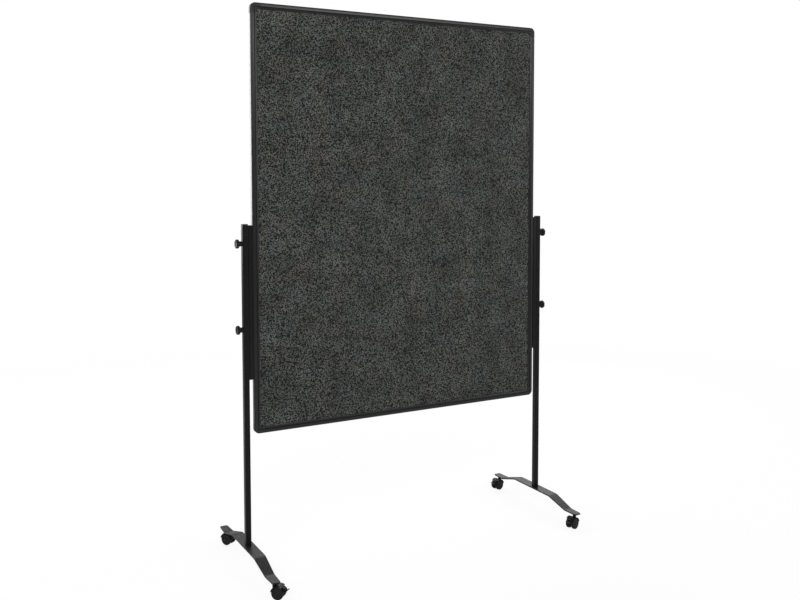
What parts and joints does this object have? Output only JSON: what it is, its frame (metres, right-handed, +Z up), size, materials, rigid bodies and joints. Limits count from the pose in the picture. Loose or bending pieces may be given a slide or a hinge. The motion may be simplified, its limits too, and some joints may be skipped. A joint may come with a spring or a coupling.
{
  "type": "rolling partition",
  "caption": "Mobile partition: a felt-covered board in a black aluminium frame, height-adjustable between square side posts on bent steel feet with braked castors.",
  "frame": {"origin": "on the floor, midway between the castors of both stands and below the middle of the board", "axes": "+X along the board's width to the right as seen from its front, -Y the board's front, +Z up"},
  "size_m": [1.3166, 0.5855, 1.98],
  "materials": {
    "core": "pressed softboard, uncoated",
    "felt": "needled felt, mottled dark grey",
    "frame": "black anodised, satin",
    "corner_moulding": "fine grained",
    "post": "black powder coat, semi-gloss",
    "foot": "black powder coat, semi-gloss",
    "steel": "zinc plated",
    "knob": "fine grained",
    "castor_moulding": "satin moulded",
    "wheel": "satin, soft tread"
  },
  "bodies": {
    "left_stand": {"post_left": "post", "post_cap_left": "corner_moulding", "base_plug_left": "steel", "foot_plate_left": "foot", "foot_screw_left": "steel", "rail_bolt_left_lower": "steel", "rail_bolt_left_upper": "steel", "castor_left_front_stem": "steel", "castor_left_rear_stem": "steel"},
    "right_stand": {"post_right": "post", "post_cap_right": "corner_moulding", "base_plug_right": "steel", "foot_plate_right": "foot", "foot_screw_right": "steel", "rail_bolt_right_lower": "steel", "rail_bolt_right_upper": "steel", "castor_right_front_stem": "steel", "castor_right_rear_stem": "steel"},
    "board": {"board_core": "core", "felt_front": "felt", "felt_back": "felt", "frame_top": "frame", "frame_bottom": "frame", "frame_left": "frame", "frame_right": "frame", "corner_top_right": "corner_moulding", "corner_bottom_right": "corner_moulding", "corner_bottom_left": "corner_moulding", "corner_top_left": "corner_moulding", "rail_left": "frame", "rail_screw_left_lower": "steel", "rail_screw_left_upper": "steel", "rail_right": "frame", "rail_screw_right_lower": "steel", "rail_screw_right_upper": "steel"},
    "knob_left_lower": {"knob_left_lower": "knob"},
    "knob_left_upper": {"knob_left_upper": "knob"},
    "castor_left_front": {"castor_left_front_housing": "castor_moulding", "castor_left_front_axle": "steel"},
    "castor_left_front_wheel_a": {"castor_left_front_wheel_a": "wheel"},
    "castor_left_front_wheel_b": {"castor_left_front_wheel_b": "wheel"},
    "castor_left_front_brake_lever": {"castor_left_front_brake_lever": "castor_moulding"},
    "castor_left_rear": {"castor_left_rear_housing": "castor_moulding", "castor_left_rear_axle": "steel"},
    "castor_left_rear_wheel_a": {"castor_left_rear_wheel_a": "wheel"},
    "castor_left_rear_wheel_b": {"castor_left_rear_wheel_b": "wheel"},
    "castor_left_rear_brake_lever": {"castor_left_rear_brake_lever": "castor_moulding"},
    "knob_right_lower": {"knob_right_lower": "knob"},
    "knob_right_upper": {"knob_right_upper": "knob"},
    "castor_right_front": {"castor_right_front_housing": "castor_moulding", "castor_right_front_axle": "steel"},
    "castor_right_front_wheel_a": {"castor_right_front_wheel_a": "wheel"},
    "castor_right_front_wheel_b": {"castor_right_front_wheel_b": "wheel"},
    "castor_right_front_brake_lever": {"castor_right_front_brake_lever": "castor_moulding"},
    "castor_right_rear": {"castor_right_rear_housing": "castor_moulding", "castor_right_rear_axle": "steel"},
    "castor_right_rear_wheel_a": {"castor_right_rear_wheel_a": "wheel"},
    "castor_right_rear_wheel_b": {"castor_right_rear_wheel_b": "wheel"},
    "castor_right_rear_brake_lever": {"castor_right_rear_brake_lever": "castor_moulding"}
  },
  "joints": [
    {"name": "board_height", "type": "slide", "parent": "left_stand", "child": "board", "axis": [0, 0, 1], "range_m": [-0.05, 0.15]},
    {"name": "right_stand_height", "type": "slide", "parent": "board", "child": "right_stand", "axis": [0, 0, 1], "range_m": [-0.15, 0.05]},
    {"name": "knob_left_lower_turn", "type": "hinge", "parent": "left_stand", "child": "knob_left_lower", "pos_m": [-0.6473, 0, 0.8523], "axis": [-1, 0, 0], "range_deg": [0, 180]},
    {"name": "knob_left_upper_turn", "type": "hinge", "parent": "left_stand", "child": "knob_left_upper", "pos_m": [-0.6473, 0, 1.1523], "axis": [-1, 0, 0], "range_deg": [0, 180]},
    {"name": "castor_left_front_swivel", "type": "hinge", "parent": "left_stand", "child": "castor_left_front", "pos_m": [-0.626, -0.26, 0.03], "axis": [0, 0, 1], "continuous": true},
    {"name": "castor_left_front_wheel_a_roll", "type": "hinge", "parent": "castor_left_front", "child": "castor_left_front_wheel_a", "pos_m": [-0.61469, -0.27131, 0.021], "axis": [0.7071, 0.7071, 0], "continuous": true},
    {"name": "castor_left_front_wheel_b_roll", "type": "hinge", "parent": "castor_left_front", "child": "castor_left_front_wheel_b", "pos_m": [-0.61469, -0.27131, 0.021], "axis": [0.7071, 0.7071, 0], "continuous": true},
    {"name": "castor_left_front_brake", "type": "hinge", "parent": "castor_left_front", "child": "castor_left_front_brake_lever", "pos_m": [-0.60142, -0.28458, 0.03675], "axis": [0.7071, 0.7071, 0], "range_deg": [0, 9]},
    {"name": "castor_left_rear_swivel", "type": "hinge", "parent": "left_stand", "child": "castor_left_rear", "pos_m": [-0.626, 0.26, 0.03], "axis": [0, 0, 1], "continuous": true},
    {"name": "castor_left_rear_wheel_a_roll", "type": "hinge", "parent": "castor_left_rear", "child": "castor_left_rear_wheel_a", "pos_m": [-0.618, 0.24614, 0.021], "axis": [0.866, 0.5, 0], "continuous": true},
    {"name": "castor_left_rear_wheel_b_roll", "type": "hinge", "parent": "castor_left_rear", "child": "castor_left_rear_wheel_b", "pos_m": [-0.618, 0.24614, 0.021], "axis": [0.866, 0.5, 0], "continuous": true},
    {"name": "castor_left_rear_brake", "type": "hinge", "parent": "castor_left_rear", "child": "castor_left_rear_brake_lever", "pos_m": [-0.60862, 0.22989, 0.03675], "axis": [0.866, 0.5, 0], "range_deg": [0, 9]},
    {"name": "knob_right_lower_turn", "type": "hinge", "parent": "right_stand", "child": "knob_right_lower", "pos_m": [0.6473, 0, 0.8523], "axis": [1, 0, 0], "range_deg": [0, 180]},
    {"name": "knob_right_upper_turn", "type": "hinge", "parent": "right_stand", "child": "knob_right_upper", "pos_m": [0.6473, 0, 1.1523], "axis": [1, 0, 0], "range_deg": [0, 180]},
    {"name": "castor_right_front_swivel", "type": "hinge", "parent": "right_stand", "child": "castor_right_front", "pos_m": [0.626, -0.26, 0.03], "axis": [0, 0, 1], "continuous": true},
    {"name": "castor_right_front_wheel_a_roll", "type": "hinge", "parent": "castor_right_front", "child": "castor_right_front_wheel_a", "pos_m": [0.61096, -0.26547, 0.021], "axis": [0.342, -0.9397, 0], "continuous": true},
    {"name": "castor_right_front_wheel_b_roll", "type": "hinge", "parent": "castor_right_front", "child": "castor_right_front_wheel_b", "pos_m": [0.61096, -0.26547, 0.021], "axis": [0.342, -0.9397, 0], "continuous": true},
    {"name": "castor_right_front_brake", "type": "hinge", "parent": "castor_right_front", "child": "castor_right_front_brake_lever", "pos_m": [0.59333, -0.27189, 0.03675], "axis": [0.342, -0.9397, 0], "range_deg": [0, 9]},
    {"name": "castor_right_rear_swivel", "type": "hinge", "parent": "right_stand", "child": "castor_right_rear", "pos_m": [0.626, 0.26, 0.03], "axis": [0, 0, 1], "continuous": true},
    {"name": "castor_right_rear_wheel_a_roll", "type": "hinge", "parent": "castor_right_rear", "child": "castor_right_rear_wheel_a", "pos_m": [0.61055, 0.25586, 0.021], "axis": [0.2588, -0.9659, 0], "continuous": true},
    {"name": "castor_right_rear_wheel_b_roll", "type": "hinge", "parent": "castor_right_rear", "child": "castor_right_rear_wheel_b", "pos_m": [0.61055, 0.25586, 0.021], "axis": [0.2588, -0.9659, 0], "continuous": true},
    {"name": "castor_right_rear_brake", "type": "hinge", "parent": "castor_right_rear", "child": "castor_right_rear_brake_lever", "pos_m": [0.59242, 0.251, 0.03675], "axis": [0.2588, -0.9659, 0], "range_deg": [0, 9]}
  ],
  "couplings": [
    {"joint": "right_stand_height", "follows": "board_height", "ratio": -1}
  ]
}
